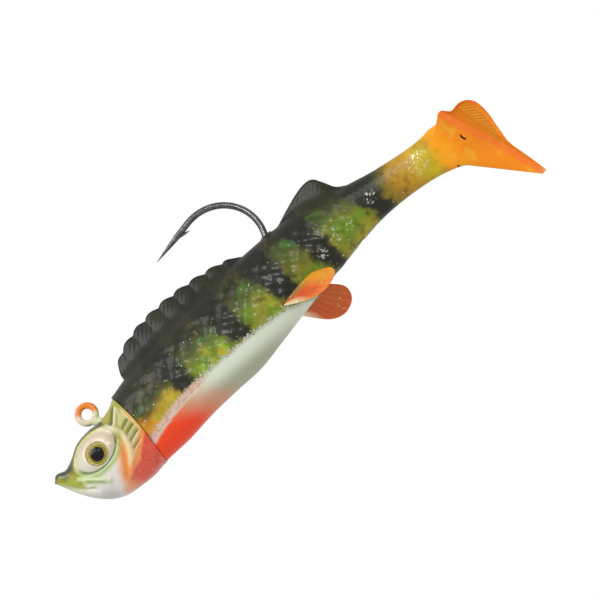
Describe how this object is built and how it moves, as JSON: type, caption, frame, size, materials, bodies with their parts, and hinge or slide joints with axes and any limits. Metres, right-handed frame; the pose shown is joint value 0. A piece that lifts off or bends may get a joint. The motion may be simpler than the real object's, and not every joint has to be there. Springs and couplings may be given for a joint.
{
  "type": "swimbait",
  "caption": "Soft plastic perch-shaped swimbait on a cast jig head with an upturned hook, a line eye, splayed belly fins and a flexible stem with a paddle tail.",
  "frame": {"origin": "centre of the line eye's hole", "axes": "+X along the fish to the tail, +Z to the back, +Y along the line eye's hole to the fish's right side"},
  "size_m": [0.1132, 0.0297, 0.0507],
  "materials": {
    "painted_lead": "gloss paint, olive back, pearl cheek, orange throat",
    "black_nickel_wire": "black nickel plate",
    "eye_foil": "gold foil with a black pupil",
    "eye_lens": "clear dome",
    "back_plastic": "glossy soft plastic with glitter",
    "belly_plastic": "pearl soft plastic, red at the throat",
    "tail_plastic": "translucent soft plastic, gold to orange",
    "fin_plastic": "translucent soft plastic"
  },
  "bodies": {
    "jig": {"jig_head": "painted_lead", "jig_hook": "black_nickel_wire", "left_eye_foil": "eye_foil", "right_eye_foil": "eye_foil", "left_eye_lens": "eye_lens", "right_eye_lens": "eye_lens", "soft_back": "back_plastic", "soft_belly": "belly_plastic"},
    "rear_body": {"rear_body": "back_plastic"},
    "tail_stem": {"tail_stem": "tail_plastic"},
    "tail_paddle": {"tail_paddle": "tail_plastic"},
    "left_pelvic_fin": {"left_pelvic_fin": "fin_plastic"},
    "right_pelvic_fin": {"right_pelvic_fin": "fin_plastic"}
  },
  "joints": [
    {"name": "rear_body_flex", "type": "hinge", "parent": "jig", "child": "rear_body", "pos_m": [0.05849, -0.00028, 0], "axis": [0, 0, 1], "range_deg": [-20, 30], "stiffness_Nm_per_rad": 0.007},
    {"name": "tail_stem_flex", "type": "hinge", "parent": "rear_body", "child": "tail_stem", "pos_m": [0.07513, -0.0036, 0], "axis": [0, 0, 1], "range_deg": [-25, 35], "stiffness_Nm_per_rad": 0.0009},
    {"name": "paddle_flex", "type": "hinge", "parent": "tail_stem", "child": "tail_paddle", "pos_m": [0.08622, -0.00814, 0], "axis": [0, 0, 1], "range_deg": [-30, 35], "stiffness_Nm_per_rad": 0.0006},
    {"name": "left_pelvic_fin_flex", "type": "hinge", "parent": "jig", "child": "left_pelvic_fin", "pos_m": [0.0432, -0.0042, -0.01485], "axis": [0.9966, 0.0473, 0.0671], "range_deg": [-30, 18], "stiffness_Nm_per_rad": 0.0003},
    {"name": "right_pelvic_fin_flex", "type": "hinge", "parent": "jig", "child": "right_pelvic_fin", "pos_m": [0.0432, 0.0042, -0.01485], "axis": [0.9966, -0.0473, 0.0671], "range_deg": [-18, 30], "stiffness_Nm_per_rad": 0.0003}
  ]
}
